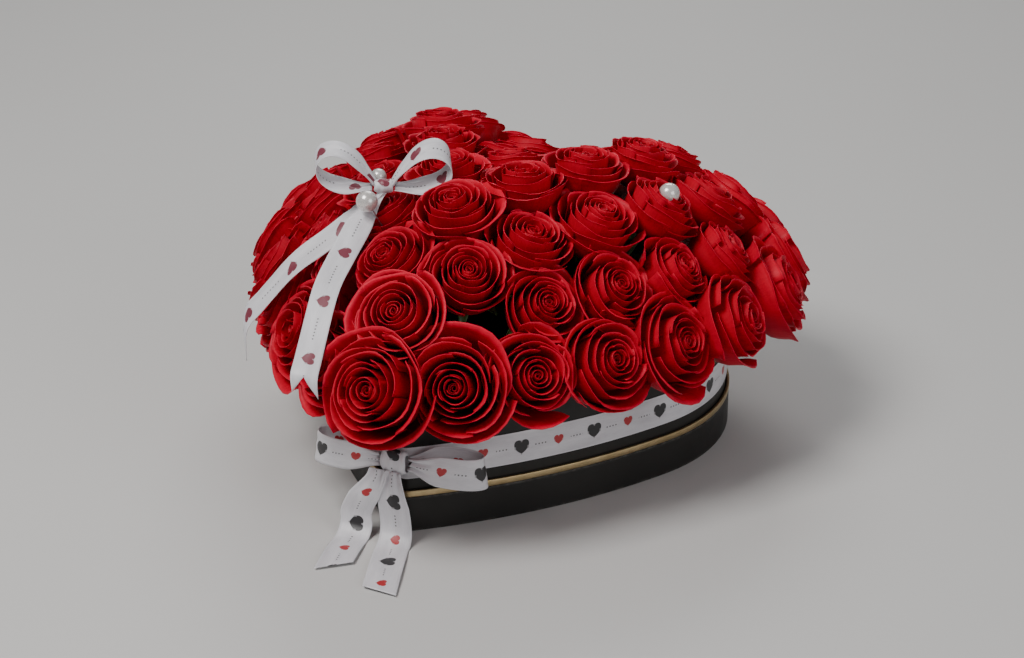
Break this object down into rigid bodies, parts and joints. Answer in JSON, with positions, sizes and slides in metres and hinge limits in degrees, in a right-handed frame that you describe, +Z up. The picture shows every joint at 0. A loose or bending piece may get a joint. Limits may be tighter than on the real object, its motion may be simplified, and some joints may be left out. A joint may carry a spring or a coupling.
{
  "type": "flower box",
  "caption": "Heart-shaped card box standing in its upturned lid, filled with a dome of red roses, with satin ribbon bows and pearl pins.",
  "frame": {"origin": "middle of the heart's length, on the underside of the lid that the box stands in", "axes": "+Z up, the heart's point faces -Y, the heart is symmetrical about the YZ plane"},
  "size_m": [0.4339, 0.4868, 0.2555],
  "materials": {
    "black_card": "matte black laminated card",
    "gold_foil": "gold foil edging",
    "white_satin": "white satin ribbon with small printed marks",
    "liner": "thin moulded liner",
    "wet_foam": "green floral foam",
    "rose_petals": "velvety deep red rose petals",
    "pearl": "imitation pearl"
  },
  "bodies": {
    "lid_base": {"lid_panel": "black_card", "lid_side_wall": "black_card", "lid_gold_edge": "gold_foil"},
    "box": {"box_bottom_panel": "black_card", "box_side_wall": "black_card", "box_ribbon_band": "white_satin", "box_bow_knot": "white_satin", "box_bow_loop_left": "white_satin", "box_bow_loop_right": "white_satin", "box_bow_tail_front": "white_satin", "box_bow_tail_left": "white_satin"},
    "arrangement": {"foam_tray": "liner", "floral_foam": "wet_foam", "edge_rose_01": "rose_petals", "edge_rose_02": "rose_petals", "edge_rose_03": "rose_petals", "edge_rose_04": "rose_petals", "edge_rose_05": "rose_petals", "edge_rose_06": "rose_petals", "edge_rose_07": "rose_petals", "edge_rose_08": "rose_petals", "edge_rose_09": "rose_petals", "edge_rose_10": "rose_petals", "edge_rose_11": "rose_petals", "edge_rose_12": "rose_petals", "edge_rose_13": "rose_petals", "edge_rose_14": "rose_petals", "edge_rose_15": "rose_petals", "edge_rose_16": "rose_petals", "edge_rose_17": "rose_petals", "edge_rose_18": "rose_petals", "edge_rose_19": "rose_petals", "edge_rose_20": "rose_petals", "edge_rose_21": "rose_petals", "inner_roses_01": "rose_petals", "inner_roses_02": "rose_petals", "inner_roses_03": "rose_petals", "inner_roses_04": "rose_petals", "inner_roses_05": "rose_petals", "inner_roses_06": "rose_petals", "inner_roses_07": "rose_petals", "inner_roses_08": "rose_petals", "inner_roses_09": "rose_petals", "inner_roses_10": "rose_petals", "inner_roses_11": "rose_petals", "inner_roses_12": "rose_petals", "inner_roses_13": "rose_petals", "inner_roses_14": "rose_petals", "inner_roses_15": "rose_petals", "inner_roses_16": "rose_petals", "inner_roses_17": "rose_petals", "inner_roses_18": "rose_petals", "top_bow_knot": "white_satin", "top_bow_loop_left": "white_satin", "top_bow_loop_right": "white_satin", "top_bow_tail_front": "white_satin", "top_bow_tail_left": "white_satin"},
    "large_pearl": {"large_pearl_pin": "pearl"},
    "small_pearl": {"small_pearl_pin": "pearl"},
    "lone_pearl": {"lone_pearl_pin": "pearl"}
  },
  "joints": [
    {"name": "box_lift", "type": "slide", "parent": "lid_base", "child": "box", "axis": [0, 0, 1], "range_m": [0, 0.08]},
    {"name": "arrangement_lift", "type": "slide", "parent": "box", "child": "arrangement", "axis": [0, 0, 1], "range_m": [0, 0.12]},
    {"name": "large_pearl_pull", "type": "slide", "parent": "arrangement", "child": "large_pearl", "axis": [-0.3819, -0.2795, 0.8809], "range_m": [0, 0.035]},
    {"name": "small_pearl_pull", "type": "slide", "parent": "arrangement", "child": "small_pearl", "axis": [-0.3819, -0.2795, 0.8809], "range_m": [0, 0.035]},
    {"name": "lone_pearl_pull", "type": "slide", "parent": "arrangement", "child": "lone_pearl", "axis": [0.4301, 0.1939, 0.8817], "range_m": [0, 0.035]}
  ]
}
